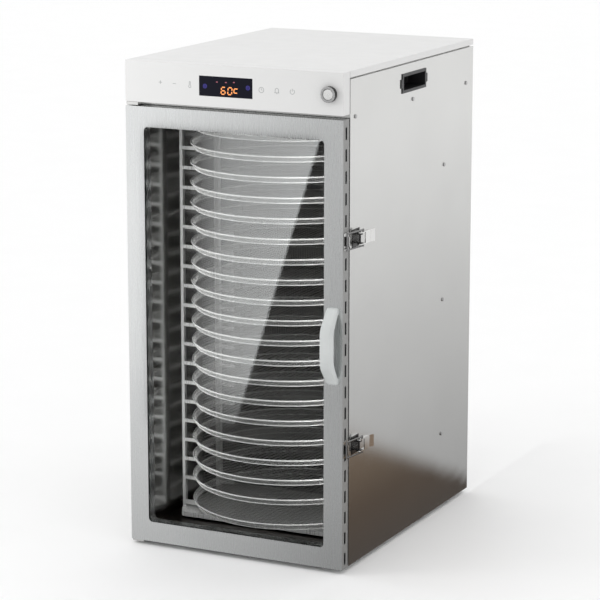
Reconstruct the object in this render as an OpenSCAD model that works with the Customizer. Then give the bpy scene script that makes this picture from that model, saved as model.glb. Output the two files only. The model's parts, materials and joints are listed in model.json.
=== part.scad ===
// Upright cabinet food dehydrator with a turning rack of round wire trays.
// Millimetres, +Z up. The origin is the middle of the whole object's footprint, handle and
// latches included, on the plane of the feet's soles. The door is in front, towards -Y, and
// it is hinged on the left, at -X.

/* [Cabinet] */
// Overall width of the cabinet
cab_w = 400; // [380:1:440]
// Overall depth, from the door's front face to the back panel
cab_d = 538; // [530:1:600]
// Height of the cabinet without its feet
cab_h = 827; // [820:1:835]
// Height of the rubber feet
foot_h = 8; // [8:1:20]
// Thickness of the sheet steel
sheet = 0.8; // [0.6:0.1:1.2]
// Depth of the zone in front of the casing that holds the door and the fascia
front_zone = 26; // [25:0.5:30]

/* [Fascia] */
// Height of the control fascia
fascia_h = 69; // [60:1:72]
// Depth of the control fascia
fascia_t = 24; // [20:1:25]
// Width of the display window
display_w = 98; // [60:1:110]
// Height of the display window
display_h = 33; // [20:1:40]
// Diameter of the push button's bezel
bezel_d = 26; // [20:1:28]
// How far the push button's bezel stands out from the fascia
bezel_out = 9; // [3:0.5:12]
// Travel of the push button
button_travel = 2.5; // [1:0.5:3]

/* [Door] */
// Height of the door
door_h = 751; // [740:1:752]
// Thickness of the door
door_t = 22; // [20:1:22]
// Width of the door's frame around the window
frame_w = 34; // [30:1:40]
// Corner radius of the window
window_r = 7.5; // [4:0.5:12]
// Thickness of the glass
glass_t = 4; // [3:0.5:5]
// Number of vent slots in the door's right edge
slot_n = 21; // [9:2:21]
// Distance from one vent slot to the next
slot_pitch = 35.55; // [30:0.05:36]
// Length of the handle
handle_l = 128; // [110:1:140]
// How far the handle stands out from the door
handle_out = 33; // [28:1:40]

/* [Rack] */
// Number of trays above the lowest one
shelf_n = 19; // [4:1:19]
// Distance from one tray to the next
tray_pitch = 34.55; // [30:0.05:34.6]
// Radius of a tray
tray_r = 175; // [160:1:175]
// Height of a tray
tray_h = 12.2; // [10:0.1:14]
// Half the distance between the front combs and the rear combs
comb_y = 69; // [50:1:69]

/* [Latches] */
// Heights of the two draw latches above the cabinet's bottom
latch_z = [553, 205]; // [150:1:700]

/* [Air system] */
// Heights of the two fans above the cabinet's bottom
fan_z = [560, 230]; // [110:1:640]
// Radius over a fan's blades
fan_r = 68; // [50:1:70]

/* [Hidden] */
$fn = 64;
eps = 0.01;

// Everything below is drawn from the front plane, the cabinet's middle and its bottom edge.
half_w = cab_w / 2;
in_w = half_w - sheet;
fascia_z = cab_h - fascia_h;
roof_skirt = 10.5;
shadow_gap = 2.5;
shell_top = cab_h - roof_skirt - shadow_gap;
back_y = cab_d - sheet;

// Drying cavity
floor_z = 8;
ceiling_z = 742;
baffle_y = 417;
mouth_w = 182;
mouth_z = [12, 737];

// Rack axis and heights
axis_y = 220;
post_x = 176.5;
post_w = 5.5;
post_t = 1.5;
weld_gap = 0.02;
prong_w = 26;
prong_h = 6;
comb_return = 14;
plate_z = 20;
plate_skirt = 8;
low_shelf = 32.5;
low_prong_h = 8;
plate_half_y = 100;
plate_r = 195;
first_shelf = 76.2;
rack_top = 728;
tray_lift = 0.2;
pivot_r = 6;
shaft_r = 5;
run_gap = 0.05;

// Door details
hinge_x = -half_w + 8;
hinge_y = 15;
hinge_pin_r = 3;
hinge_pin_l = 10;
window_z = [frame_w + 1, door_h - frame_w];
window_x = half_w - frame_w;
slot_mid = 373;
slot_l = 20;
slot_w = 6;
gasket_x = [183, 190];
handle_x = 183;
handle_z = 380;
handle_w = 20;
handle_bar = 15;

// Controls
display_x = -12;
display_z = 792;
button_x = 176;
button_z = 792;
button_depth = 8;

// Pocket handles
pocket_y = [228, 327];
pocket_z = [766, 799];
pocket_d = 34;

// Mains inlet on the back
inlet_x = 120;
inlet_z = 60;
inlet_w = 30;
inlet_h = 24;

// Fan motors, as depths from the front
motor_y = [446, 486];

// Latch geometry, from its mid height on the side of the cabinet
latch_pivot = [half_w + 9, 46];
bail_pivot = [half_w + 11, 54];
bail_wire_r = 1.5;
bail_front = 7;
bail_z = 13.2;
bail_end = 8.6;
lever_plate = [3, 4.4];
lever_tip = [1.4, 8];
lever_tip_turn = 30;

// How far the object reaches past the casing on each side
screw_head_h = 1.8;
inlet_flange = 2;
lever_tip_x = latch_pivot[0] + lever_plate[0] + 0.2;
reach_x = [-half_w - screw_head_h,
           lever_tip_x + lever_tip[0] * cos(lever_tip_turn) + lever_tip[1] * sin(lever_tip_turn)];
reach_y = [-handle_out, cab_d + inlet_flange];

// ---------- shared helpers ----------

// Moves from the front plane and the cabinet's bottom edge to the origin on the floor.
module cabinet_frame() {
  translate([-(reach_x[0] + reach_x[1]) / 2, -(reach_y[0] + reach_y[1]) / 2, foot_h]) children();
}

// Moves on to the rack's own axis.
module rack_frame() {
  cabinet_frame() translate([0, axis_y, 0]) children();
}

// A box between two corners.
module box(x, y, z) {
  translate([x[0], y[0], z[0]]) cube([x[1] - x[0], y[1] - y[0], z[1] - z[0]]);
}

// Copies a shape to both sides of the cabinet.
module both_sides() {
  children();
  mirror([1, 0, 0]) children();
}

// A cylinder that lies along Y, from y[0] to y[1].
module rod_y(r, y, x = 0, z = 0) {
  translate([x, y[0], z]) rotate([-90, 0, 0]) cylinder(r = r, h = y[1] - y[0]);
}

// A flat rectangle with round corners, in the plane of X and Z.
module round_rect(x, z, r) {
  translate([x[0] + r, z[0]]) square([x[1] - x[0] - 2 * r, z[1] - z[0]]);
  translate([x[0], z[0] + r]) square([x[1] - x[0], z[1] - z[0] - 2 * r]);
  for (cx = [x[0] + r, x[1] - r], cz = [z[0] + r, z[1] - r]) translate([cx, cz]) circle(r);
}

// The same rectangle as a plate that is thick along Y.
module round_plate(x, y, z, r) {
  translate([0, y[1], 0]) rotate([90, 0, 0]) linear_extrude(y[1] - y[0]) round_rect(x, z, r);
}

// A rectangular frame of one band width, thick along Y.
module frame_y(x, y, z, band) {
  difference() {
    box(x, y, z);
    box([x[0] + band, x[1] - band], [y[0] - 1, y[1] + 1], [z[0] + band, z[1] - band]);
  }
}

// ---------- casing ----------

module base_pan() color("silver") cabinet_frame() {
  difference() {
    box([-in_w, in_w], [front_zone + sheet, back_y], [0, 6]);
    box([-in_w + sheet, in_w - sheet], [front_zone + 2 * sheet, back_y - sheet], [sheet, 7]);
  }
}

module side_panel() {
  top_return = 15;
  box([in_w, half_w], [front_zone, cab_d], [0, shell_top]);
  box([in_w - top_return, in_w + eps], [front_zone + sheet, back_y], [shell_top - sheet, shell_top]);
}

module pocket_cutout() {
  clear = 3;
  box([in_w - 1, half_w + 1], [pocket_y[0] + clear, pocket_y[1] - clear],
      [pocket_z[0] + clear, pocket_z[1] - clear]);
}

module right_side_panel() color("lightgray") cabinet_frame() difference() {
  side_panel();
  pocket_cutout();
}

module left_side_panel() color("lightgray") cabinet_frame() mirror([1, 0, 0]) difference() {
  side_panel();
  pocket_cutout();
}

module back_panel() color("lightgray") cabinet_frame() difference() {
  box([-in_w, in_w], [back_y, cab_d], [0, shell_top]);
  // inlet and warm-air louvres, then a row of moist-air outlets high up
  box([inlet_x - inlet_w / 2, inlet_x + inlet_w / 2], [back_y - 1, cab_d + 1],
      [inlet_z - inlet_h / 2, inlet_z + inlet_h / 2]);
  for (z = fan_z, i = [-4 : 4]) {
    half = sqrt(pow(60, 2) - pow(12 * i, 2));
    box([-half, half], [back_y - 1, cab_d + 1], [z + 12 * i - 2.5, z + 12 * i + 2.5]);
  }
  for (i = [-6 : 6]) box([20 * i - 6, 20 * i + 6], [back_y - 1, cab_d + 1], [700, 706]);
}

module roof_lid() color("whitesmoke") cabinet_frame() {
  ring = 5;
  y = [front_zone - 1, cab_d];
  difference() {
    box([-half_w, half_w], y, [cab_h - roof_skirt, cab_h]);
    box([-in_w, in_w], [y[0] + sheet, y[1] - sheet], [cab_h - roof_skirt + sheet, cab_h - sheet]);
    box([-half_w + ring, half_w - ring], [y[0] + ring, y[1] - ring],
        [cab_h - roof_skirt - 1, cab_h - sheet - 1]);
  }
  // the step that leaves a shadow gap under the lid's skirt
  difference() {
    box([-half_w + ring - eps, half_w - ring + eps], [y[0] + ring - eps, y[1] - ring + eps],
        [shell_top, cab_h - roof_skirt + sheet]);
    box([-half_w + ring + sheet, half_w - ring - sheet], [y[0] + ring + sheet, y[1] - ring - sheet],
        [shell_top - 1, cab_h - roof_skirt + 2 * sheet]);
  }
}

module face_frame() color("silver") cabinet_frame() {
  lip = 12;
  difference() {
    box([-in_w, in_w], [front_zone, front_zone + sheet], [0, shell_top]);
    box([-mouth_w, mouth_w], [front_zone - 1, front_zone + 2], mouth_z);
    box([-150, 150], [front_zone - 1, front_zone + 2], [770, 804]);
  }
  // lip turned inwards around the mouth of the cavity
  difference() {
    box([-mouth_w - sheet, mouth_w + sheet], [front_zone + sheet - eps, front_zone + lip],
        [mouth_z[0] - sheet, mouth_z[1] + sheet]);
    box([-mouth_w, mouth_w], [front_zone - 1, front_zone + lip + 1], mouth_z);
  }
}

// A ceiling or floor sheet with a return along each side.
module cavity_sheet(z, y, turn) {
  box([-in_w, in_w], y, [z, z + sheet]);
  both_sides() box([in_w - sheet, in_w], y, [z, z + sheet + turn]);
}

module cavity_ceiling() color("silver") cabinet_frame() difference() {
  cavity_sheet(ceiling_z, [front_zone + sheet, back_y], 20);
  translate([0, axis_y, ceiling_z - 1]) cylinder(r = 12, h = sheet + 2);
}

module cavity_floor() color("silver") cabinet_frame()
  cavity_sheet(floor_z, [front_zone + sheet, baffle_y], 12);

module rear_baffle() color("silver") cabinet_frame() {
  flange = 14;
  grille = 6;
  z = [floor_z + sheet, ceiling_z];
  difference() {
    box([-in_w + sheet, in_w - sheet], [baffle_y, baffle_y + sheet], z);
    // warm-air grille in front of each fan
    for (fz = fan_z, i = [-5 : 5]) {
      half = sqrt(pow(fan_r + 2, 2) - pow(12 * i, 2));
      box([-half, half], [baffle_y - 1, baffle_y + 2], [fz + 12 * i - grille / 2, fz + 12 * i + grille / 2]);
    }
    // return-air slots down both sides
    both_sides() for (i = [0 : 13])
      box([150, 170], [baffle_y - 1, baffle_y + 2], [60 + 48 * i, 60 + 48 * i + grille]);
  }
  both_sides() box([in_w - sheet, in_w], [baffle_y - flange, baffle_y + sheet],
                   [z[0] + 14, z[1]]);
}

module feet() color("black") cabinet_frame() {
  foot_r = 16;
  inset = 60;
  for (x = [-half_w + inset, half_w - inset], y = [front_zone + inset, cab_d - inset])
    translate([x, y, -foot_h]) cylinder(r = foot_r, h = foot_h);
}

module screw_head() {
  rotate([0, 90, 0]) cylinder(r = 3.4, h = screw_head_h);
}

module casing_screws() color("gray") cabinet_frame() {
  both_sides() {
    for (y = [45, 274, 506]) translate([half_w, y, 752]) screw_head();
    for (z = [620, 379, 134]) translate([half_w, 412, z]) screw_head();
  }
  for (x = [-185, 0, 185], z = [14, 800]) translate([x, cab_d, z]) rotate([0, 0, 90]) screw_head();
  for (x = [-185, 185], z = [280, 540]) translate([x, cab_d, z]) rotate([0, 0, 90]) screw_head();
}

// ---------- control head ----------

module control_fascia() color("whitesmoke") cabinet_frame() {
  inner = 4;
  z = [fascia_z, cab_h];
  difference() {
    box([-half_w, half_w], [0, fascia_t], z);
    box([-in_w, in_w], [sheet, fascia_t + 1], [z[0] + sheet, z[1] - sheet]);
    box([display_x - display_w / 2, display_x + display_w / 2], [-1, sheet + 1],
        [display_z - display_h / 2, display_z + display_h / 2]);
    rod_y(bezel_d / 2 - 2, [-1, 3], button_x, button_z);
  }
  // inner flange that meets the casing behind a narrow groove
  frame_y([-half_w + inner, half_w - inner], [sheet - eps, front_zone],
          [z[0] + inner, shell_top - eps], sheet);
}

module display_lens() color("black") cabinet_frame() {
  gap = 0.15;
  box([display_x - display_w / 2 + gap, display_x + display_w / 2 - gap], [0.2, 3],
      [display_z - display_h / 2 + gap, display_z + display_h / 2 - gap]);
}

module control_board() color("darkgreen") cabinet_frame() {
  y = 14;
  box([-140, 120], [y, y + 1.6], [768, 812]);
  // display module, touch-key springs and parts on the back of the board
  box([display_x - 45, display_x + 45], [3, y + eps], [display_z - 14, display_z + 14]);
  for (x = [-136, 116], z = [772, 808]) rod_y(2.5, [sheet, y + eps], x, z);
  for (x = [-133, -107, -80, 53, 81, 109]) rod_y(4, [sheet + 0.3, y + eps], x, display_z);
  for (x = [-110, -60, 10]) box([x, x + 26], [y + 1.6 - eps, y + 9], [776, 796]);
}

module button_bezel() color("silver") cabinet_frame() difference() {
  union() {
    rod_y(bezel_d / 2, [-bezel_out, 0], button_x, button_z);
    rod_y(bezel_d / 2 - 2.1, [-eps, 18], button_x, button_z);
  }
  rod_y(bezel_d / 2 - 4, [-bezel_out - 1, button_depth + button_travel + 1], button_x, button_z);
}

module power_button() color("gainsboro") cabinet_frame() {
  rod_y(bezel_d / 2 - 4.3, [0.8 - bezel_out, button_depth], button_x, button_z);
}

module pocket() {
  wall = 2;
  lip = 1.6;
  depth_x = half_w - pocket_d;
  difference() {
    union() {
      box([half_w, half_w + lip], pocket_y, pocket_z);
      // spring clips that show as bumps at both ends
      for (y = [pocket_y[0] - 5, pocket_y[1]]) box([half_w, half_w + lip], [y, y + 5], [775, 790]);
      box([depth_x, half_w + eps], [pocket_y[0] + 3.2, pocket_y[1] - 3.2],
          [pocket_z[0] + 3.2, pocket_z[1] - 3.2]);
    }
    box([depth_x + wall, half_w + lip + 1], [pocket_y[0] + 3.2 + wall, pocket_y[1] - 3.2 - wall],
        [pocket_z[0] + 3.2 + wall, pocket_z[1] - 3.2 - wall]);
  }
}

module pocket_handles() color("black") cabinet_frame() both_sides() pocket();

// ---------- rack drive ----------

module rack_motor() color("dimgray") rack_frame() {
  // gearbox, motor can and output shaft
  box([-35, 35], [-45, 45], [ceiling_z + sheet, ceiling_z + 32]);
  translate([0, 0, ceiling_z + 32 - eps]) cylinder(r = 24, h = 34);
  translate([0, 0, rack_top + 4]) cylinder(r = shaft_r, h = ceiling_z + sheet - rack_top - 4 + eps);
}

module rack_bearing() color("darkkhaki") rack_frame() difference() {
  union() {
    translate([0, 0, floor_z + sheet]) cylinder(r = 22, h = 2);
    translate([0, 0, floor_z + sheet]) cylinder(r = 12, h = 8.6);
  }
  translate([0, 0, floor_z]) cylinder(r = pivot_r + run_gap, h = 12);
}

// ---------- air system ----------

module fan_motors() color("dimgray") cabinet_frame() for (z = fan_z) {
  arm = 96;
  strap = 16;
  // shaft end, motor can, and the bent strap that carries it on the baffle
  rod_y(3, [430, motor_y[0] + eps], 0, z);
  rod_y(32, motor_y, 0, z);
  box([-strap / 2, strap / 2], [motor_y[0], motor_y[0] + 3], [z - arm, z + arm]);
  for (s = [z - arm, z + arm - 3])
    box([-strap / 2, strap / 2], [baffle_y + sheet, motor_y[0] + 3], [s, s + 3]);
}

module heater_elements() color("brown") cabinet_frame() for (z = fan_z) {
  ring_r = 82;
  rod_r = 4;
  translate([0, 432, z]) rotate([90, 0, 0]) rotate_extrude() translate([ring_r, 0]) circle(rod_r);
  // cold ends that run back to the terminals, and feet on the baffle
  for (s = [-1, 1]) {
    rod_y(rod_r - 1, [432, 470], s * ring_r * cos(25), z + ring_r * sin(25));
    rod_y(2, [baffle_y + sheet, 432], s * ring_r, z);
  }
}

module fan_rotor(z) cabinet_frame() translate([0, 0, z]) difference() {
  union() {
    rod_y(18, [424, 444]);
    for (a = [0 : 60 : 300]) rotate([0, a, 0])
      translate([fan_r / 2 + 3, 434, 0]) rotate([32, 0, 0])
        cube([fan_r - 6, 1.4, 24], center = true);
  }
  rod_y(3 + run_gap, [423, 445]);
}

module fan_rotor_upper() color("black") fan_rotor(fan_z[0]);
module fan_rotor_lower() color("black") fan_rotor(fan_z[1]);

module power_inlet() color("black") cabinet_frame() {
  gap = 0.2;
  difference() {
    union() {
      box([inlet_x - 24, inlet_x + 24], [cab_d, cab_d + inlet_flange], [inlet_z - 16, inlet_z + 16]);
      box([inlet_x - inlet_w / 2 + gap, inlet_x + inlet_w / 2 - gap], [cab_d - 26, cab_d + eps],
          [inlet_z - inlet_h / 2 + gap, inlet_z + inlet_h / 2 - gap]);
    }
    box([inlet_x - 12, inlet_x + 12], [cab_d - 18, cab_d + 3], [inlet_z - 8.5, inlet_z + 8.5]);
  }
  // the three contact blades
  for (p = [[-7, -4], [0, 0], [7, -4]])
    box([inlet_x + p[0] - 1, inlet_x + p[0] + 1], [cab_d - 18 - eps, cab_d - 3],
        [inlet_z + p[1] - 2, inlet_z + p[1] + 2]);
}

// ---------- door ----------

module door_outline(grow, y) {
  round_plate([-window_x - grow, window_x + grow], y,
              [window_z[0] - grow, window_z[1] + grow], window_r + grow);
}

module door_frame() color("silver") cabinet_frame() {
  bush_r = 5.5;
  difference() {
    union() {
      difference() {
        box([-half_w, half_w], [0, door_t], [0, door_h]);
        box([-in_w, in_w], [sheet, door_t + 1], [sheet, door_h - sheet]);
      }
      // bushes for the two hinge pins
      for (z = [0, door_h - hinge_pin_l - 4])
        translate([hinge_x, hinge_y, z]) cylinder(r = bush_r, h = hinge_pin_l + 4);
    }
    door_outline(0, [-1, sheet + 1]);
    for (z = [-1, door_h - hinge_pin_l - 1])
      translate([hinge_x, hinge_y, z]) cylinder(r = hinge_pin_r + run_gap, h = hinge_pin_l + 2);
    for (i = [0 : slot_n - 1]) {
      z = slot_mid + (i - (slot_n - 1) / 2) * slot_pitch;
      box([in_w - 1, half_w + 1], [door_t / 2 - slot_w / 2, door_t / 2 + slot_w / 2],
          [z - slot_l / 2, z + slot_l / 2]);
    }
  }
}

module door_inner_frame() color("gray") cabinet_frame() {
  difference() {
    union() {
      box([-in_w, in_w], [door_t - sheet, door_t], [sheet, door_h - sheet]);
      door_outline(sheet, [sheet + glass_t, door_t - sheet + eps]);
    }
    door_outline(0, [0, door_t + 1]);
  }
}

module door_glass() color("lightblue", 0.3) cabinet_frame() {
  hold = 6;
  round_plate([-window_x - hold, window_x + hold], [sheet, sheet + glass_t],
              [window_z[0] - hold, window_z[1] + hold], 2);
}

module door_gasket() color("dimgray") cabinet_frame() {
  frame_y([-gasket_x[1], gasket_x[1]], [door_t, front_zone - 0.4],
          [mouth_z[0] - 8, mouth_z[1] + 8], gasket_x[1] - gasket_x[0]);
}

// Outline of the handle in the plane of depth and height, from its mid height.
module handle_profile(out, half) {
  bend = 30;
  polygon([[0, -half], [0, half], [-8, half], [-out, half - bend], [-out, -half + bend], [-8, -half]]);
}

module door_handle() color("white") cabinet_frame() {
  foot = 14;
  half = handle_l / 2;
  translate([handle_x - handle_w / 2, 0, handle_z])
    rotate([90, 0, 90]) linear_extrude(handle_w) difference() {
      handle_profile(handle_out, half);
      polygon([[1, -half + foot], [1, half - foot], [-4, half - foot],
               [-handle_out + handle_bar, half - 36], [-handle_out + handle_bar, -half + 36],
               [-4, -half + foot]]);
    }
}

module hinge_brackets() color("whitesmoke") cabinet_frame() {
  plate_x = [-half_w, -178];
  front = 3;
  clear = 1;
  low = [-4, -clear];
  high = [door_h + clear, fascia_z - 0.5];
  // upper bracket: a block on the face frame in the gap above the door
  box(plate_x, [front, front_zone], high);
  translate([hinge_x, hinge_y, high[0] - hinge_pin_l - clear])
    cylinder(r = hinge_pin_r, h = hinge_pin_l + clear + eps);
  // lower bracket: a plate that runs under the door, packed off the base pan
  box(plate_x, [front, 70], low);
  box(plate_x, [front_zone + 6, 70], [low[1] - eps, 0]);
  translate([hinge_x, hinge_y, low[1] - eps]) cylinder(r = hinge_pin_r, h = hinge_pin_l + clear);
}

// ---------- draw latches ----------

module latch_base(z) translate([0, 0, z]) {
  ear = 8;
  ear_t = 1.4;
  difference() {
    union() {
      box([half_w, half_w + sheet], [34, 62], [-15, 15]);
      for (s = [-ear, ear - ear_t]) translate([0, 0, s]) {
        translate([latch_pivot[0], latch_pivot[1], 0]) cylinder(r = 4.6, h = ear_t);
        box([half_w + sheet - eps, latch_pivot[0]], [latch_pivot[1] - 4.6, latch_pivot[1] + 4.6],
            [0, ear_t]);
      }
      // rivet through both ears and the lever
      translate([latch_pivot[0], latch_pivot[1], -11.4]) cylinder(r = 1.5, h = 22.8);
    }
  }
  for (s = [-11.5, 11.5]) translate([half_w + sheet - eps, 57, s]) rotate([0, 90, 0])
    cylinder(r = 2, h = 1);
}

module latch_bases() color("silver") cabinet_frame() for (z = latch_z) latch_base(z);

module latch_lever(z) color("silver") cabinet_frame() translate([0, 0, z]) difference() {
  cheek = [9, 10.4];
  reach = 80;
  union() {
    // two cheeks, the thumb plate between them, and a lifted tip
    for (s = [-cheek[1], cheek[0]]) translate([0, 0, s]) {
      translate([latch_pivot[0], latch_pivot[1], 0]) cylinder(r = 4.4, h = cheek[1] - cheek[0]);
      box([latch_pivot[0] - 2, latch_pivot[0] + lever_plate[1]], [latch_pivot[1], reach - 4],
          [0, cheek[1] - cheek[0]]);
    }
    box([latch_pivot[0] + lever_plate[0], latch_pivot[0] + lever_plate[1]],
        [latch_pivot[1] + 12, reach], [-cheek[1], cheek[1]]);
    translate([lever_tip_x, reach - 0.4, 0]) rotate([0, 0, -lever_tip_turn])
      translate([0, 0, -cheek[1]]) cube([lever_tip[0], lever_tip[1], 2 * cheek[1]]);
  }
  translate([latch_pivot[0], latch_pivot[1], -12]) cylinder(r = 1.5 + run_gap, h = 24);
  translate([bail_pivot[0], bail_pivot[1], -12]) cylinder(r = bail_wire_r + run_gap, h = 24);
}

module latch_lever_upper() latch_lever(latch_z[0]);
module latch_lever_lower() latch_lever(latch_z[1]);

module latch_bail(z) color("silver") cabinet_frame() translate([0, 0, z]) {
  front_x = half_w + 4.4;
  leg_l = bail_pivot[1] - bail_front;
  tilt = atan2(bail_pivot[0] - front_x, leg_l);
  bar_r = bail_wire_r + 0.1;
  leg_r = bail_wire_r - 0.1;
  half_bar = bail_z + bar_r;
  for (s = [-1, 1]) {
    // inturned end that turns in the lever, then the leg that runs to the front bar
    translate([bail_pivot[0], bail_pivot[1], s > 0 ? bail_end : -half_bar])
      cylinder(r = bail_wire_r, h = half_bar - bail_end);
    translate([front_x, bail_front, s * bail_z]) rotate([0, 0, -tilt]) rotate([-90, 0, 0])
      cylinder(r = leg_r, h = leg_l / cos(tilt));
  }
  translate([front_x, bail_front, -half_bar]) cylinder(r = bar_r, h = 2 * half_bar);
}

module latch_bail_upper() latch_bail(latch_z[0]);
module latch_bail_lower() latch_bail(latch_z[1]);

module latch_keepers() color("silver") cabinet_frame() for (z = latch_z) translate([0, 0, z]) {
  lip_y = bail_front + bail_wire_r + 0.5;
  box([half_w, half_w + sheet], [3, 20], [-14, 14]);
  box([half_w + sheet - eps, half_w + 6.5], [lip_y, lip_y + 1.6], [-8, 8]);
  for (s = [-11, 11]) translate([half_w + sheet - eps, 15, s]) rotate([0, 90, 0])
    cylinder(r = 1.8, h = 1);
}

// ---------- rack ----------

// A prong with a round tip, whose upper edge carries a tray. It is welded to the post's edge.
module prong(top, h) {
  y = [-comb_y - post_t / 2, -comb_y + post_t / 2];
  box([post_x - prong_w + h / 2, post_x - weld_gap], y, [top - h, top]);
  rod_y(h / 2, y, post_x - prong_w + h / 2, top - h / 2);
}

// One comb: an upright post with a stiffening return, and a prong under each tray.
module comb() {
  x = [post_x, post_x + post_w];
  box(x, [-comb_y - post_t / 2, -comb_y + post_t / 2], [plate_z, rack_top]);
  box([x[1] - post_t, x[1]], [-comb_y - post_t / 2, -comb_y + comb_return], [plate_z, rack_top]);
  for (i = [0 : shelf_n - 1]) prong(first_shelf + i * tray_pitch, prong_h);
  prong(low_shelf, low_prong_h);
}

// The front comb and the rear comb of one side, which only the two plates join.
module side_combs() {
  comb();
  mirror([0, 1, 0]) comb();
}

module rack_right_combs() color("lightgray") rack_frame() side_combs();
module rack_left_combs() color("lightgray") rack_frame() mirror([1, 0, 0]) side_combs();

// A plate with straight front and back edges and ends rounded to the turning circle.
module rack_plate(inset, half_y, h) {
  intersection() {
    cylinder(r = plate_r - inset, h = h, $fn = 96);
    translate([-post_x - post_w + inset, -half_y + inset, 0])
      cube([2 * (post_x + post_w - inset), 2 * (half_y - inset), h]);
  }
}

module rack_bottom_plate() color("lightgray") rack_frame() {
  translate([0, 0, plate_z - plate_skirt]) difference() {
    rack_plate(0, plate_half_y, plate_skirt);
    translate([0, 0, -1]) rack_plate(sheet, plate_half_y, plate_skirt - sheet + 1);
  }
  // pivot pin, down into the bearing
  pin_foot = floor_z + sheet + 1;
  translate([0, 0, pin_foot]) cylinder(r = pivot_r, h = plate_z - sheet - pin_foot + eps);
}

module rack_top_plate() color("lightgray") rack_frame() difference() {
  union() {
    translate([0, 0, rack_top]) rack_plate(0, comb_y + 6, sheet);
    translate([0, 0, rack_top]) cylinder(r = 11, h = 11);
  }
  translate([0, 0, rack_top + 2.5]) cylinder(r = shaft_r + run_gap, h = 12);
}

// ---------- trays ----------

// Number 1 is the top tray. The last one lies on the combs' lowest prongs.
function tray_z(k) = k > shelf_n ? low_shelf : first_shelf + (shelf_n - k) * tray_pitch;

// A mesh floor, and the band with the rim wire that stands around it.
module tray(k) color("silver") rack_frame() translate([0, 0, tray_z(k) + tray_lift]) {
  wall = 0.8;
  floor_t = 0.3;
  seat_gap = 0.02;
  cylinder(r = tray_r, h = floor_t, $fn = 96);
  translate([0, 0, floor_t + seat_gap]) difference() {
    cylinder(r = tray_r, h = tray_h - floor_t - seat_gap, $fn = 96);
    translate([0, 0, -1]) cylinder(r = tray_r - wall, h = tray_h + 1, $fn = 96);
  }
}

base_pan();
left_side_panel();
right_side_panel();
back_panel();
roof_lid();
face_frame();
cavity_ceiling();
cavity_floor();
rear_baffle();
control_fascia();
display_lens();
control_board();
button_bezel();
power_button();
rack_motor();
rack_bearing();
fan_motors();
heater_elements();
fan_rotor_upper();
fan_rotor_lower();
power_inlet();
pocket_handles();
feet();
casing_screws();
hinge_brackets();
latch_bases();
latch_lever_upper();
latch_lever_lower();
latch_bail_upper();
latch_bail_lower();
door_frame();
door_inner_frame();
door_glass();
door_gasket();
door_handle();
latch_keepers();
rack_left_combs();
rack_right_combs();
rack_top_plate();
rack_bottom_plate();
tray(1);  // tray_01
tray(2);  // tray_02
tray(3);  // tray_03
tray(4);  // tray_04
tray(5);  // tray_05
tray(6);  // tray_06
tray(7);  // tray_07
tray(8);  // tray_08
tray(9);  // tray_09
tray(10);  // tray_10
tray(11);  // tray_11
tray(12);  // tray_12
tray(13);  // tray_13
tray(14);  // tray_14
tray(15);  // tray_15
tray(16);  // tray_16
tray(17);  // tray_17
tray(18);  // tray_18
tray(19);  // tray_19
tray(20);  // tray_20
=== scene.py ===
"""Looks of the cabinet food dehydrator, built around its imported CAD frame."""

import json
import math

import bmesh
import bpy
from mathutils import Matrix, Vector

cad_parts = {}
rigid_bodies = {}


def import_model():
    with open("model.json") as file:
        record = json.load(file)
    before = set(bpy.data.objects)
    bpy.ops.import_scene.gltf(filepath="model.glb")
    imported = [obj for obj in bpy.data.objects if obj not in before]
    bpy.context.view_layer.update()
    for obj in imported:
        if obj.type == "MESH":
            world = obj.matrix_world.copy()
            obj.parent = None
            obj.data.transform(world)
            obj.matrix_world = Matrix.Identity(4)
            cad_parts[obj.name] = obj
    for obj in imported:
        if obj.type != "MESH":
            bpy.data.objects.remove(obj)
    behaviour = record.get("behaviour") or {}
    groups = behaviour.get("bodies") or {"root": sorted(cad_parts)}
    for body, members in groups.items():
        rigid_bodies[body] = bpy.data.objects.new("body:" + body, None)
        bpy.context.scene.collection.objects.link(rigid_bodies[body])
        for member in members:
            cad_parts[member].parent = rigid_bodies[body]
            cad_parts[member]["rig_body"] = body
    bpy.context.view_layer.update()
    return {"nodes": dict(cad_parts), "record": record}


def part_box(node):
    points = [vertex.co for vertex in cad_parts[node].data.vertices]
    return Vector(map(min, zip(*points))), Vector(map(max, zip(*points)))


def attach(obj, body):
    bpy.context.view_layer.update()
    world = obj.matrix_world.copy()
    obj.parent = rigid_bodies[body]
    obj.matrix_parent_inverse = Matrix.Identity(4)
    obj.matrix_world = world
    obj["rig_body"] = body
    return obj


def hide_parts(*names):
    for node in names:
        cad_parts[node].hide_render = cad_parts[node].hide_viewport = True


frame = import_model()

MM = 0.001
TRAYS = sorted(n for n in frame["nodes"] if n.startswith("tray_"))
scene = bpy.context.scene


# ---------------------------------------------------------------- places
def middle(node):
    low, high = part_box(node)
    return (low + high) / 2


door_low, door_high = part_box("door_frame")
FRONT = door_low.y
RIGHT = door_high.x
BOTTOM = door_low.z
MIDDLE = middle("control_fascia").x


def place(x, depth, z):
    """A point given in millimetres from the middle, the front plane and the cabinet's bottom."""
    return Vector((MIDDLE + x * MM, FRONT + depth * MM, BOTTOM + z * MM))


# ---------------------------------------------------------------- mesh helpers
def new_object(name, bm, body, mat, smooth=True, sharp=40):
    mesh = bpy.data.meshes.new(name)
    bm.normal_update()
    bm.to_mesh(mesh)
    bm.free()
    if smooth:
        mesh.polygons.foreach_set("use_smooth", [True] * len(mesh.polygons))
        mesh.set_sharp_from_angle(angle=math.radians(sharp))
    obj = bpy.data.objects.new(name, mesh)
    scene.collection.objects.link(obj)
    mesh.materials.append(mat)
    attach(obj, body)
    return obj


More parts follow.
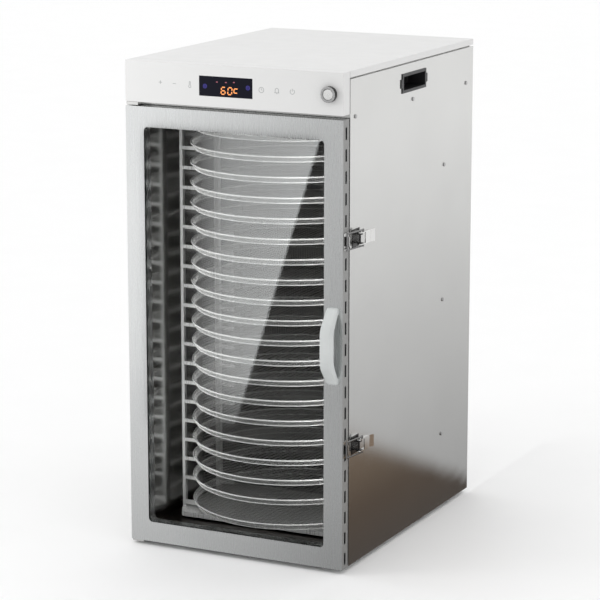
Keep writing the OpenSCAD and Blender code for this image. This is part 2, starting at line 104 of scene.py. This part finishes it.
def soften(node, width, mat):
    """A copy of a CAD node with rounded edges, which stands for it."""
    source = frame["nodes"][node]
    bm = bmesh.new()
    bm.from_mesh(source.data)
    bmesh.ops.remove_doubles(bm, verts=bm.verts, dist=1e-6)
    bmesh.ops.dissolve_limit(bm, angle_limit=math.radians(0.5), verts=bm.verts, edges=bm.edges)
    obj = new_object(node + "_soft", bm, source["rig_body"], mat, sharp=30)
    bevel = obj.modifiers.new("edges", "BEVEL")
    bevel.width = width
    bevel.segments = 2
    bevel.limit_method = "ANGLE"
    bevel.angle_limit = math.radians(30)
    bevel.harden_normals = True
    bevel.use_clamp_overlap = True
    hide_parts(node)
    return obj


def shade_faces_by_facing(obj, mat, facing):
    """Gives a second material to the faces whose normals pass the test; used here for painted shade on faces
    turned from the light.
    """
    obj.data.materials.append(mat)
    for face in obj.data.polygons:
        if facing(face.normal):
            face.material_index = 1


def tube(bm, points, radius, sides=6, closed=False, up=Vector((0, 0, 1))):
    """A wire of one radius along a polyline."""
    count = len(points)
    rings = []
    for i, p in enumerate(points):
        before = points[i - 1] if closed or i > 0 else p
        after = points[(i + 1) % count] if closed or i < count - 1 else p
        along = (after - before).normalized()
        across = along.cross(up)
        if across.length < 1e-6:
            across = along.cross(Vector((1, 0, 0)))
        across.normalize()
        over = across.cross(along)
        rings.append([
            bm.verts.new(p + radius * (math.cos(a) * across + math.sin(a) * over))
            for a in (2 * math.pi * j / sides for j in range(sides))
        ])
    spans = count if closed else count - 1
    for i in range(spans):
        a, b = rings[i], rings[(i + 1) % count]
        for j in range(sides):
            k = (j + 1) % sides
            bm.faces.new((a[j], a[k], b[k], b[j]))
    if not closed:
        bm.faces.new(rings[0][::-1])
        bm.faces.new(rings[-1])


# ---------------------------------------------------------------- materials
SLOTS = {s["node"]: s["material_slot"] for s in frame["record"]["subparts"]}


class Shader:
    """A Principled material with object coordinates and a few wiring helpers."""

    def __init__(self, name, colour, roughness, metallic=0.0, **more):
        self.mat = bpy.data.materials.new(name)
        self.mat.use_nodes = True
        self.tree = self.mat.node_tree
        self.nodes = self.tree.nodes
        self.main = self.nodes["Principled BSDF"]
        self.main.inputs["Base Color"].default_value = (*colour, 1)
        self.main.inputs["Roughness"].default_value = roughness
        self.main.inputs["Metallic"].default_value = metallic
        for key, value in more.items():
            self.main.inputs[key.replace("_", " ")].default_value = value
        self.coords = self.nodes.new("ShaderNodeTexCoord").outputs["Object"]

    def link(self, a, b):
        self.tree.links.new(a, b)

    def noise(self, scale, detail=3.0, roughness=0.5):
        """Noise in object space. scale is one number, or one for each axis, per metre."""
        if not hasattr(scale, "__len__"):
            scale = (scale,) * 3
        mapping = self.nodes.new("ShaderNodeMapping")
        mapping.inputs["Scale"].default_value = scale
        self.link(self.coords, mapping.inputs["Vector"])
        node = self.nodes.new("ShaderNodeTexNoise")
        node.inputs["Scale"].default_value = 1
        node.inputs["Detail"].default_value = detail
        node.inputs["Roughness"].default_value = roughness
        self.link(mapping.outputs["Vector"], node.inputs["Vector"])
        return node.outputs["Fac"]

    def range(self, value, low, high):
        node = self.nodes.new("ShaderNodeMapRange")
        node.inputs["From Min"].default_value = 0.3
        node.inputs["From Max"].default_value = 0.7
        node.inputs["To Min"].default_value = low
        node.inputs["To Max"].default_value = high
        self.link(value, node.inputs["Value"])
        return node.outputs["Result"]

    def blend(self, factor, a, b, socket="Base Color"):
        node = self.nodes.new("ShaderNodeMix")
        node.data_type = "RGBA"
        node.inputs[6].default_value = (*a, 1)
        node.inputs[7].default_value = (*b, 1)
        self.link(factor, node.inputs[0])
        if socket:
            self.link(node.outputs[2], self.main.inputs[socket])
        return node.outputs[2]

    def rough(self, factor, low, high):
        self.link(self.range(factor, low, high), self.main.inputs["Roughness"])

    def bump(self, height, strength, distance):
        node = self.nodes.new("ShaderNodeBump")
        node.inputs["Strength"].default_value = strength
        node.inputs["Distance"].default_value = distance
        self.link(height, node.inputs["Height"])
        self.link(node.outputs["Normal"], self.main.inputs["Normal"])


def tint(colour, factor):
    return tuple(min(1.0, c * factor) for c in colour)


def brushed(name, colour, roughness, along="z", grain=900, depth=2e-6, spread=0.05, metallic=1.0):
    """Satin sheet steel with its grain along one axis, a soft mottling and fine scratches."""
    s = Shader(name, colour, roughness, metallic)
    scale = [grain] * 3
    scale["xyz".index(along)] = grain / 60
    lines = s.noise(scale, detail=2)
    cloud = s.noise(9, detail=4)
    s.blend(cloud, tint(colour, 0.96), tint(colour, 1.04))
    s.rough(lines, roughness - spread, roughness + spread)
    s.bump(lines, 0.25, depth)
    return s.mat


def painted(name, colour, roughness, peel=260, depth=6e-6, **more):
    """Enamel with a faint orange peel and a slight change of tone."""
    s = Shader(name, colour, roughness, **more)
    s.blend(s.noise(7), tint(colour, 0.985), tint(colour, 1.015))
    s.rough(s.noise(30), roughness - 0.03, roughness + 0.03)
    s.bump(s.noise(peel, detail=1), 0.2, depth)
    return s.mat


def moulded(name, colour, roughness, grain=1800, depth=8e-6):
    """Moulded plastic or rubber with a fine texture."""
    s = Shader(name, colour, roughness)
    s.blend(s.noise(40), tint(colour, 0.9), tint(colour, 1.1))
    s.rough(s.noise(120), roughness - 0.05, roughness + 0.05)
    s.bump(s.noise(grain, detail=2), 0.35, depth)
    return s.mat


def plated(name, colour, roughness, metallic=1.0, crevice_shade=False):
    """Bright plating with faint handling marks, and a painted shade in its creases and hollows if asked."""
    s = Shader(name, colour, roughness, metallic)
    tone = s.blend(s.noise(60), tint(colour, 0.96), tint(colour, 1.03))
    s.rough(s.noise(220), roughness * 0.85, roughness * 1.15)
    if crevice_shade:
        # painted shade: ambient occlusion darkens the base colour in creases and hollows, where shade falls
        near = s.nodes.new("ShaderNodeAmbientOcclusion")
        near.inputs["Distance"].default_value = 6 * MM
        dark = s.nodes.new("ShaderNodeMix")
        dark.data_type = "RGBA"
        dark.blend_type = "MULTIPLY"
        dark.inputs[0].default_value = 1
        s.link(tone, dark.inputs[6])
        s.link(s.range(near.outputs["AO"], 0.05, 1.0), dark.inputs[7])
        s.link(dark.outputs[2], s.main.inputs["Base Color"])
    return s.mat


GLASS_GLOSS = 0.04


def clear_glass(name):
    """Thin tempered glass: what is behind it shows through, under a faint mirror image."""
    s = Shader(name, (0.9, 0.92, 0.92), 0.0, IOR=1.33, Metallic=1.0)
    s.blend(s.noise(12), (0.97, 0.99, 0.99), (1.0, 1.0, 1.0))
    s.rough(s.noise(15), 0.0, 0.012)
    # the same gloss on both faces of the pane, from GLASS_GLOSS head-on to all at a grazing angle
    facing = s.nodes.new("ShaderNodeLayerWeight")
    facing.inputs["Blend"].default_value = 0.5
    power = s.nodes.new("ShaderNodeMath")
    power.operation = "POWER"
    power.inputs[1].default_value = 5
    s.link(facing.outputs["Facing"], power.inputs[0])
    gloss = s.nodes.new("ShaderNodeMath")
    gloss.operation = "MULTIPLY_ADD"
    gloss.inputs[1].default_value = 1 - GLASS_GLOSS
    gloss.inputs[2].default_value = GLASS_GLOSS
    s.link(power.outputs[0], gloss.inputs[0])
    through = s.nodes.new("ShaderNodeBsdfTransparent")
    through.inputs["Color"].default_value = (0.93, 0.94, 0.94, 1)
    mix = s.nodes.new("ShaderNodeMixShader")
    s.link(gloss.outputs[0], mix.inputs["Fac"])
    s.link(through.outputs["BSDF"], mix.inputs[1])
    s.link(s.main.outputs["BSDF"], mix.inputs[2])
    s.link(mix.outputs["Shader"], s.nodes["Material Output"].inputs["Surface"])
    return s.mat


def lamp(name, colour, strength):
    """A lit segment of the display."""
    s = Shader(name, tint(colour, 0.3), 0.4)
    glow = s.blend(s.noise(900), tint(colour, 0.9), colour, socket=None)
    s.link(glow, s.main.inputs["Emission Color"])
    s.main.inputs["Emission Strength"].default_value = strength
    return s.mat


MATS = {
    "casing_steel": brushed("casing_steel", (0.60, 0.60, 0.59), 0.2, "z", depth=1e-6),
    # painted shade: the cavity's stainless steel gets a dark brown base so the inside of the cabinet reads
    # as shaded
    "cavity_steel": brushed("cavity_steel", (0.085, 0.072, 0.062), 0.34, "z", depth=1e-6),
    "fascia_enamel": painted("fascia_enamel", (0.66, 0.66, 0.655), 0.32),
    "door_steel": brushed("door_steel", (0.62, 0.63, 0.63), 0.27, "z"),
    "glass": clear_glass("glass"),
    "gasket_rubber": moulded("gasket_rubber", (0.02, 0.02, 0.02), 0.7),
    "handle_plastic": moulded("handle_plastic", (0.56, 0.58, 0.575), 0.35, depth=3e-6),
    # chrome and button_metal get a painted shade in their creases and hollows
    "chrome": plated("chrome", (0.72, 0.72, 0.71), 0.12, crevice_shade=True),
    "black_plastic": moulded("black_plastic", (0.012, 0.012, 0.013), 0.4),
    "display_black": painted("display_black", (0.006, 0.006, 0.012), 0.08, IOR=1.2),
    "board_green": moulded("board_green", (0.02, 0.10, 0.04), 0.5),
    "button_metal": plated("button_metal", (0.50, 0.50, 0.50), 0.25, crevice_shade=True),
    "motor_grey": painted("motor_grey", (0.09, 0.09, 0.10), 0.5),
    "bronze": plated("bronze", (0.40, 0.26, 0.12), 0.35),
    "heater_sheath": plated("heater_sheath", (0.20, 0.15, 0.12), 0.4),
    "foot_rubber": moulded("foot_rubber", (0.015, 0.015, 0.015), 0.8),
    "screw_steel": plated("screw_steel", (0.42, 0.42, 0.42), 0.3),
    "rack_steel": brushed("rack_steel", (0.80, 0.79, 0.78), 0.3, "z", metallic=0.5),
    "tray_wire": plated("tray_wire", (0.94, 0.925, 0.91), 0.25, metallic=0.4),
}
BUTTON_CAP = plated("button_cap", (0.86, 0.86, 0.85), 0.3)
# painted shade: the trays' floor wires are a darker, duller copy of the bright rim wire
FLOOR_WIRE_SHADE = plated("floor_wire", (0.42, 0.41, 0.40), 0.35, metallic=0.8)
# painted shade: a darker, duller steel for the side faces of the door frame
DOOR_EDGE_SHADE = brushed("door_edge_shaded", (0.25, 0.25, 0.245), 0.55, "z", metallic=0.1)
# painted shade: a near-black plating for the latch bases, standing in for the shade inside the latches
LATCH_BODY_SHADE = plated("latch_body_shaded", (0.05, 0.05, 0.05), 0.25)
LATCH_BAIL = plated("latch_bail", (0.20, 0.20, 0.20), 0.2)
# painted shade: a near-black plating for the button bezel's side wall
BEZEL_SKIRT_SHADE = plated("bezel_skirt_shaded", (0.05, 0.05, 0.05), 0.3)
ICON_GREY = painted("icon_grey", (0.32, 0.33, 0.33), 0.5)
SEGMENT_ORANGE = lamp("segment_orange", (1.0, 0.36, 0.10), 1.1)
LAMP_BLUE = lamp("lamp_blue", (0.05, 0.035, 0.42), 0.3)
LAMP_RED = lamp("lamp_red", (0.45, 0.12, 0.16), 0.6)

for node, obj in frame["nodes"].items():
    obj.data.materials.clear()
    obj.data.materials.append(MATS[SLOTS[node]])

# ---------------------------------------------------------------- softened sheet metal and fittings
EDGES = {
    "left_side_panel": 0.5, "right_side_panel": 0.5, "back_panel": 0.4, "roof_lid": 0.6,
    "control_fascia": 1.4, "door_frame": 0.8, "hinge_brackets": 0.4, "pocket_handles": 0.5,
    "latch_bases": 0.25, "latch_lever_upper": 0.35, "latch_lever_lower": 0.35,
    "latch_keepers": 0.3, "button_bezel": 0.7, "power_button": 0.5, "casing_screws": 0.5,
    "feet": 1.5, "power_inlet": 0.4, "display_lens": 0.2,
}
soft = {node: soften(node, width * MM, MATS[SLOTS[node]]) for node, width in EDGES.items()}
# painted shade on the door frame's side faces
shade_faces_by_facing(soft["door_frame"], DOOR_EDGE_SHADE, lambda n: abs(n.x) > 0.9)
# painted shade on the bezel's side wall, all faces but those facing the front
shade_faces_by_facing(soft["button_bezel"], BEZEL_SKIRT_SHADE, lambda n: n.y > -0.5)
soft["power_button"].data.materials[0] = BUTTON_CAP
# painted shade on the latch bases
soft["latch_bases"].data.materials[0] = LATCH_BODY_SHADE
for name in ("latch_bail_upper", "latch_bail_lower"):
    frame["nodes"][name].data.materials[0] = LATCH_BAIL


# ---------------------------------------------------------------- trays
def tray_mesh():
    """A shallow round basket of bright wire around its own axis, standing on z = 0."""
    low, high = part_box(TRAYS[0])
    height = high.z - low.z
    rim_wire, mesh_wire = 1.5 * MM, 0.45 * MM
    rim_r = (high.x - low.x) / 2 - rim_wire - 0.1 * MM
    floor_r = rim_r - 5 * MM
    bm = bmesh.new()

    def circle(radius, z, count):
        turns = (2 * math.pi * i / count for i in range(count))
        return [Vector((radius * math.cos(a), radius * math.sin(a), z)) for a in turns]

    tube(bm, circle(rim_r, height - rim_wire, 160), rim_wire, 8, closed=True)
    tube(bm, circle(floor_r, 1.4 * MM, 120), 0.8 * MM, 6, closed=True)
    # the mesh's edge, turned up to the rim: two zigzags that cross
    waves = 122
    for phase in (0, 1):
        points = []
        for i in range(2 * waves):
            top = (i + phase) % 2
            radius = rim_r - 0.3 * MM if top else floor_r
            z = height - 2.6 * MM if top else 1.3 * MM
            a = math.pi * i / waves
            points.append(Vector((radius * math.cos(a), radius * math.sin(a), z)))
        tube(bm, points, mesh_wire, 4, closed=True)
    # the floor: two layers of crossing wires
    wall_faces = len(bm.faces)
    floor_wire = 0.35 * MM
    pitch = 9 * MM
    rows = int(floor_r / pitch)
    for layer in (0, 1):
        z = (0.75 + 1.0 * layer) * MM
        for i in range(-rows, rows + 1):
            half = math.sqrt(max(floor_r**2 - (i * pitch) ** 2, 0))
            ends = [Vector((i * pitch, s * half, z)) for s in (-1, 1)]
            if layer:
                ends = [Vector((p.y, p.x, p.z)) for p in ends]
            tube(bm, ends, floor_wire, 4)
    mesh = bpy.data.meshes.new("wire_tray")
    bm.normal_update()
    bm.to_mesh(mesh)
    bm.free()
    mesh.polygons.foreach_set("use_smooth", [True] * len(mesh.polygons))
    mesh.set_sharp_from_angle(angle=math.radians(60))
    mesh.materials.append(MATS["tray_wire"])
    # the floor wires take the darker copy, a painted shade
    mesh.materials.append(FLOOR_WIRE_SHADE)
    for face in mesh.polygons[wall_faces:]:
        face.material_index = 1
    return mesh


wire_tray = tray_mesh()
for name in TRAYS:
    low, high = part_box(name)
    tray = bpy.data.objects.new("wire_" + name, wire_tray)
    scene.collection.objects.link(tray)
    tray.location = ((low.x + high.x) / 2, (low.y + high.y) / 2, low.z)
    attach(tray, name)
    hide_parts(name)


# ---------------------------------------------------------------- door handle
def handle():
    """A bow handle: rounded sections swept along its line, with feet on the door."""
    low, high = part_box("door_handle")
    width = high.x - low.x
    centre_x = (low.x + high.x) / 2
    centre_z = (low.z + high.z) / 2
    half = (high.z - low.z) / 2
    out = FRONT - low.y
    bar = 17 * MM
    bm = bmesh.new()
    # outer and inner outlines, as (distance out, height), from one end to the other
    outer = [(0, half), (6 * MM, half), (out, half - 33 * MM)]
    inner = [(0, half - 12 * MM), (3 * MM, half - 13 * MM), (out - bar, half - 38 * MM)]

    def rounded(points, cut):
        """Rounds the corners of a half outline that goes on to its mirror image."""
        full = [Vector(p) for p in points + [(x, -z) for x, z in reversed(points)]]
        line = [full[0]]
        for before, corner, after in zip(full, full[1:], full[2:]):
            start = corner + min(cut, (before - corner).length / 2) * (before - corner).normalized()
            end = corner + min(cut, (after - corner).length / 2) * (after - corner).normalized()
            for i in range(9):
                t = i / 8
                line.append((1 - t) ** 2 * start + 2 * t * (1 - t) * corner + t**2 * end)
        return line + [full[-1]]

    sections = []
    sides = 32
    for (ox, oz), (ix, iz) in zip(rounded(outer, 9 * MM), rounded(inner, 7 * MM)):
        mid_out, mid_z = (ox + ix) / 2, (oz + iz) / 2
        d_out, d_z = (ox - ix) / 2, (oz - iz) / 2
        ring = []
        for j in range(sides):
            a = 2 * math.pi * (j + 0.5) / sides
            c, s = math.cos(a), math.sin(a)
            u = math.copysign(abs(c) ** 0.38, c)
            w = math.copysign(abs(s) ** 0.38, s)
            ring.append(bm.verts.new((
                centre_x + u * width / 2,
                FRONT - max(0.0, mid_out + w * d_out),
                centre_z + mid_z + w * d_z,
            )))
        sections.append(ring)
    for a, b in zip(sections, sections[1:]):
        for j in range(sides):
            k = (j + 1) % sides
            bm.faces.new((a[j], a[k], b[k], b[j]))
    bm.faces.new(sections[0])
    bm.faces.new(sections[-1][::-1])
    bmesh.ops.recalc_face_normals(bm, faces=bm.faces)
    obj = new_object("bow_handle", bm, "door", MATS["handle_plastic"])
    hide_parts("door_handle")


handle()

# ---------------------------------------------------------------- display and icons
PRINT = 0.08 * MM


def ribbon(bm, points, width, y, closed=False):
    """A flat stroke that faces the front, through points given as (x, z)."""
    count = len(points)
    sides = []
    for i, (x, z) in enumerate(points):
        a = points[i - 1] if closed or i else points[i]
        b = points[(i + 1) % count] if closed or i < count - 1 else points[i]
        d = Vector((b[0] - a[0], b[1] - a[1])).normalized() * width / 2
        sides.append([(x - d.y, z + d.x), (x + d.y, z - d.x)])
    layers = [[[bm.verts.new((x, yy, z)) for x, z in s] for s in sides] for yy in (y, y - PRINT)]
    back, front = layers
    for i in range(count if closed else count - 1):
        j = (i + 1) % count
        for quad in (
            (front[i][0], front[i][1], front[j][1], front[j][0]),
            (back[i][1], back[i][0], back[j][0], back[j][1]),
            (front[i][0], front[j][0], back[j][0], back[i][0]),
            (front[i][1], back[i][1], back[j][1], front[j][1]),
        ):
            bm.faces.new(quad)
    if not closed:
        for i in (0, -1):
            bm.faces.new((front[i][0], back[i][0], back[i][1], front[i][1]))


def arc(x, z, radius, start, end, count=16):
    angles = (math.radians(start + (end - start) * i / count) for i in range(count + 1))
    return [(x + radius * math.cos(a), z + radius * math.sin(a)) for a in angles]


def seven_segment(bm, digit, x, z, w, h, y, stroke):
    """One slanted digit from its lit segments."""
    lit = {"0": "abcdef", "6": "acdefg"}[digit]
    half = h / 2
    gap = stroke * 0.55
    lines = {
        "a": ((gap, h), (w - gap, h)), "g": ((gap, half), (w - gap, half)), "d": ((gap, 0), (w - gap, 0)),
        "f": ((0, half + gap), (0, h - gap)), "b": ((w, half + gap), (w, h - gap)),
        "e": ((0, gap), (0, half - gap)), "c": ((w, gap), (w, half - gap)),
    }
    for key in lit:
        ends = [(x + px + 0.1 * pz, z + pz) for px, pz in lines[key]]
        ribbon(bm, ends, stroke, y)


LIFT = 0.01 * MM
lens_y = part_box("display_lens")[0].y - LIFT

bm = bmesh.new()
base = place(-20.6, 0, 780.2)
for i, digit in enumerate("60"):
    seven_segment(bm, digit, base.x + i * 12.2 * MM, base.z, 7.2 * MM, 11.4 * MM, lens_y, 1.8 * MM)
small = place(3.6, 0, 783.4)
open_c = [(6.2, 6.8), (1.0, 6.8), (0, 5.8), (-0.5, 1.0), (0.3, 0), (5.4, 0)]
ribbon(bm, [(small.x + x * MM, small.z + z * MM) for x, z in open_c], 1.7 * MM, lens_y)
new_object("display_digits", bm, "cabinet", SEGMENT_ORANGE, smooth=False)

bm = bmesh.new()
for x, z in ((-50.2, 791.6), (28.7, 793)):
    p = place(x, 0, z)
    ribbon(bm, arc(p.x, p.z, 3.2 * MM, 0, 360)[:-1], 1.2 * MM, lens_y, closed=True)
    for turn in range(0, 360, 60):
        dx, dz = math.cos(math.radians(turn)), math.sin(math.radians(turn))
        ribbon(bm, [(p.x + r * MM * dx, p.z + r * MM * dz) for r in (0.5, 2.0)], 0.9 * MM, lens_y)
new_object("display_blue_icons", bm, "cabinet", LAMP_BLUE, smooth=False)

bm = bmesh.new()
for x, z in ((-28, 799.5), (-11.5, 799.6), (3.2, 800.5)):
    p = place(x, 0, z)
    ribbon(bm, [(p.x - 1.6 * MM, p.z), (p.x + 1.6 * MM, p.z)], 1.6 * MM, lens_y)
new_object("display_red_icons", bm, "cabinet", LAMP_RED, smooth=False)

fascia_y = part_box("control_fascia")[0].y - LIFT
ICON_STROKE = 0.9 * MM


def icon(name, strokes):
    """Printed key symbol: strokes is a list of (points, closed) in millimetres."""
    bm = bmesh.new()
    for points, closed in strokes:
        line = [place(x, 0, z) for x, z in points]
        ribbon(bm, [(p.x, p.z) for p in line], ICON_STROKE, fascia_y, closed)
    return new_object(name, bm, "cabinet", ICON_GREY, smooth=False)


def ring(x, z, radius):
    return arc(x, z, radius, 0, 360, 24)[:-1]


icon("icon_plus", [([(-136.3, 793.3), (-130.3, 793.3)], False), ([(-133.3, 790.3), (-133.3, 796.3)], False)])
icon("icon_minus", [([(-110.1, 792.4), (-104.1, 792.4)], False)])
icon("icon_thermometer", [
    (arc(-78.1, 789.6, 2.1, 120, 420), False),
    (arc(-78.1, 796.6, 1.05, 0, 180, 8), False),
    ([(-79.15, 791.4), (-79.15, 796.6)], False),
    ([(-77.05, 791.4), (-77.05, 796.6)], False),
])
icon("icon_clock", [
    (ring(53.3, 791.3, 4.4), True),
    ([(53.3, 794), (53.3, 791.3), (55.5, 791.3)], False),
])
icon("icon_bell", [
    (arc(81.3, 792.6, 3.0, 0, 180), False),
    ([(78.3, 792.6), (78.3, 789.4), (77.1, 788.4), (85.5, 788.4), (84.3, 789.4), (84.3, 792.6)], False),
    ([(80.3, 786.9), (82.3, 786.9)], False),
])
icon("icon_power", [
    (arc(109.1, 791.6, 3.9, 122, 418), False),
    ([(109.1, 792.2), (109.1, 796.6)], False),
])

# ---------------------------------------------------------------- studio
target = place(48.9, 150, 414.6)
AZIMUTH, ELEVATION, DISTANCE, LENS = math.radians(26.24), math.radians(12.33), 4.332, 153.12
view_dir = Vector((
    math.sin(AZIMUTH) * math.cos(ELEVATION),
    -math.cos(AZIMUTH) * math.cos(ELEVATION),
    math.sin(ELEVATION),
))
camera_data = bpy.data.cameras.new("camera")
camera_data.lens = LENS
camera_data.sensor_width = 36
camera_data.clip_end = 100
camera = bpy.data.objects.new("camera", camera_data)
scene.collection.objects.link(camera)
camera.location = target + DISTANCE * view_dir
camera.rotation_euler = (-view_dir).to_track_quat("-Z", "Y").to_euler()
scene.camera = camera


def staged(name, points, mat):
    """A flat staged surface through its corners."""
    mesh = bpy.data.meshes.new(name)
    mesh.from_pydata([tuple(p) for p in points], [], [list(range(len(points)))])
    mesh.materials.append(mat)
    obj = bpy.data.objects.new(name, mesh)
    scene.collection.objects.link(obj)
    return obj


floor_mat = painted("studio_floor", (0.95, 0.95, 0.95), 0.6)
staged("floor", [(-40, -40, 0), (40, -40, 0), (40, 40, 0), (-40, 40, 0)], floor_mat)


def card_material():
    """Glows with the tones stored in the card's corners."""
    mat = bpy.data.materials.new("studio_card")
    mat.use_nodes = True
    tree = mat.node_tree
    tree.nodes.clear()
    tones = tree.nodes.new("ShaderNodeAttribute")
    tones.attribute_name = "tone"
    glow = tree.nodes.new("ShaderNodeEmission")
    out = tree.nodes.new("ShaderNodeOutputMaterial")
    tree.links.new(tones.outputs["Color"], glow.inputs["Color"])
    tree.links.new(glow.outputs["Emission"], out.inputs["Surface"])
    return mat


CARD = card_material()


def mix_stops(stops, value):
    """A tone between the stops, each given as (value, tone)."""
    if value <= stops[0][0]:
        return stops[0][1]
    for (v0, t0), (v1, t1) in zip(stops, stops[1:]):
        if value <= v1:
            f = (value - v0) / (v1 - v0)
            return tuple(a + f * (b - a) for a, b in zip(t0, t1))
    return stops[-1][1]


def reflection_card(name, across, up, aim, tone):
    """A card seen only in mirror images. aim gives the card's point for a place on the object's
    face, given in millimetres by steps across and up, and tone gives its brightness there."""
    verts, tones = [], []
    for v in up:
        for u in across:
            verts.append(aim(u, v))
            tones.append(tone(u, v))
    n = len(across)
    faces = [
        (j * n + i, j * n + i + 1, (j + 1) * n + i + 1, (j + 1) * n + i)
        for j in range(len(up) - 1) for i in range(n - 1)
    ]
    mesh = bpy.data.meshes.new(name)
    mesh.from_pydata([tuple(p) for p in verts], [], faces)
    layer = mesh.color_attributes.new("tone", "FLOAT_COLOR", "POINT")
    for item, t in zip(layer.data, tones):
        item.color = (*t, 1)
    mesh.materials.append(CARD)
    card = bpy.data.objects.new(name, mesh)
    scene.collection.objects.link(card)
    card.visible_camera = False
    card.visible_diffuse = False
    card.visible_shadow = False
    card.visible_transmission = False
    return card


def steps(low, high, count):
    return [low + (high - low) * i / (count - 1) for i in range(count)]


def mirrored(point, normal_axis):
    """The direction in which the camera's sight leaves a mirror face at this point."""
    eye = camera.location.copy()
    eye[normal_axis] = 2 * point[normal_axis] - eye[normal_axis]
    return (point - eye).normalized()


FRONT_SLOPE, SIDE_SLOPE = 0.5, 1.0
FRONT_WIDTH = 370


def front_ramp(u, v):
    p = place(u, 0, v)
    d = mirrored(p, 1)
    t = (p.z + 0.004) / (-FRONT_SLOPE * d.y - d.z)
    return p + max(t, 0.002) * d


def side_ramp(u, v):
    p = Vector((RIGHT, FRONT + u * MM, BOTTOM + v * MM))
    d = mirrored(p, 0)
    t = (p.z + 0.004) / (SIDE_SLOPE * d.x - d.z)
    return p + max(t, 0.002) * d


# brightness up the front card, on its left and its right, and up the side card's wall and table
LEFT_TONES = [(0, 0.72), (180, 0.89), (340, 1.2), (480, 1.32), (606, 1.4), (712, 1.34), (900, 1.34)]
RIGHT_TONES = [(0, 0.38), (160, 0.49), (280, 0.48), (450, 0.48), (550, 0.56), (685, 0.60), (900, 0.60)]
WALL_TONES = [(0, 0.30), (160, 0.362), (380, 0.47), (520, 0.558), (600, 0.60), (700, 0.655), (800, 0.665)]
TABLE_TONES = [(0, (0.065, 0.056, 0.050)), (93, (0.078, 0.060, 0.047)), (165, (0.12, 0.091, 0.067)),
               (240, (0.16, 0.12, 0.09))]
STEEL_ALBEDO = 0.6
# the table's far edge, as (depth, height) at its near and its far end
EDGE_NEAR, EDGE_FAR = (26, 221), (538, 20)
EDGE_BLUR = 12


def grey(stops, value):
    return mix_stops([(v, (t,) * 3) for v, t in stops], value)


def front_tone(u, v):
    """Goes from the left tones to the right ones over the front's width."""
    f = min(max(u / FRONT_WIDTH + 0.5, 0), 1)
    left, right = grey(LEFT_TONES, v)[0], grey(RIGHT_TONES, v)[0]
    return (left + f * (right - left),) * 3


def side_tone(u, v):
    """A pale wall above a dark table, whose far edge slopes across the side."""
    (u_near, v_near), (u_far, v_far) = EDGE_NEAR, EDGE_FAR
    edge = v_near + (u - u_near) * (v_far - v_near) / (u_far - u_near)
    share = min(max((v - edge) / EDGE_BLUR + 0.5, 0), 1)
    wall, table = grey(WALL_TONES, v), mix_stops(TABLE_TONES, v)
    return tuple((b + share * (a - b)) / STEEL_ALBEDO for a, b in zip(wall, table))


# a bright window, mirrored in the glass: its right edge runs slantwise down from the top
VEIL_TOP, VEIL_FOOT = (156, 716), (54, 394)
VEIL_LEFT = -160
VEIL_AHEAD = 0.08
# brightness from the left to the right, and the heights between which it fades away
VEIL_TONES = [(-85, 0), (-45, 0.42), (-10, 0.72), (60, 0.85), (150, 1)]
VEIL_FADE = (215, 310)
VEIL_PEAK = 4.9


def veil_x(u, v):
    """How far right the veil is at height v, from its left side at u = 0 to its edge at u = 1."""
    (x_top, z_top), (x_foot, z_foot) = VEIL_TOP, VEIL_FOOT
    edge = x_foot + (v - z_foot) * (x_top - x_foot) / (z_top - z_foot)
    return VEIL_LEFT + u * (edge - VEIL_LEFT)


def veil_ramp(u, v):
    """The veil hangs VEIL_AHEAD metres along the mirrored sight from the glass."""
    p = place(veil_x(u, v), 1, v)
    return p + VEIL_AHEAD * mirrored(p, 1)


def veil_tone(u, v):
    """Brightest at its edge and its top."""
    fade_low, fade_high = VEIL_FADE
    height = min(max((v - fade_low) / (fade_high - fade_low), 0), 1)
    return tuple(VEIL_PEAK * height * t for t in grey(VEIL_TONES, veil_x(u, v)))


front_card = reflection_card("card_front", steps(-700, 500, 16), steps(-6, 1300, 30), front_ramp, front_tone)
veil_card = reflection_card("card_veil", steps(0, 1, 24), steps(215, 716, 20), veil_ramp, veil_tone)
reflection_card("card_side", steps(-300, 900, 40), steps(-6, 1300, 80), side_ramp, side_tone)


def glass_link(card, state):
    """Lights only the pane with a card, or all but the pane."""
    receivers = bpy.data.collections.new(card.name + "_receivers")
    receivers.objects.link(frame["nodes"]["door_glass"])
    card.light_linking.receiver_collection = receivers
    receivers.collection_objects[0].light_linking.link_state = state


glass_link(veil_card, "INCLUDE")
glass_link(front_card, "EXCLUDE")


def softbox(name, position, aim, size, power, glossy=True):
    data = bpy.data.lights.new(name, "AREA")
    data.shape = "RECTANGLE"
    data.size, data.size_y = size
    data.energy = power
    light = bpy.data.objects.new(name, data)
    scene.collection.objects.link(light)
    light.location = position
    direction = aim - position
    light.rotation_euler = direction.to_track_quat("-Z", "Y").to_euler()
    light.visible_camera = False
    light.visible_glossy = glossy


softbox("key", place(-600, -480, 1000), place(-150, 0, 780), (0.3, 0.3), 1.6, glossy=False)
for side in (-1, 1):
    spot, aim = place(side * 172, 30, 385), place(side * 60, 220, 385)
    softbox("rack_strip", spot, aim, (0.012, 0.66), 0.52, glossy=False)

world = bpy.data.worlds.new("studio")
scene.world = world
world.use_nodes = True
background = world.node_tree.nodes["Background"]
background.inputs["Color"].default_value = (1, 1, 1, 1)
background.inputs["Strength"].default_value = 1.05
scene.view_settings.view_transform = "Standard"
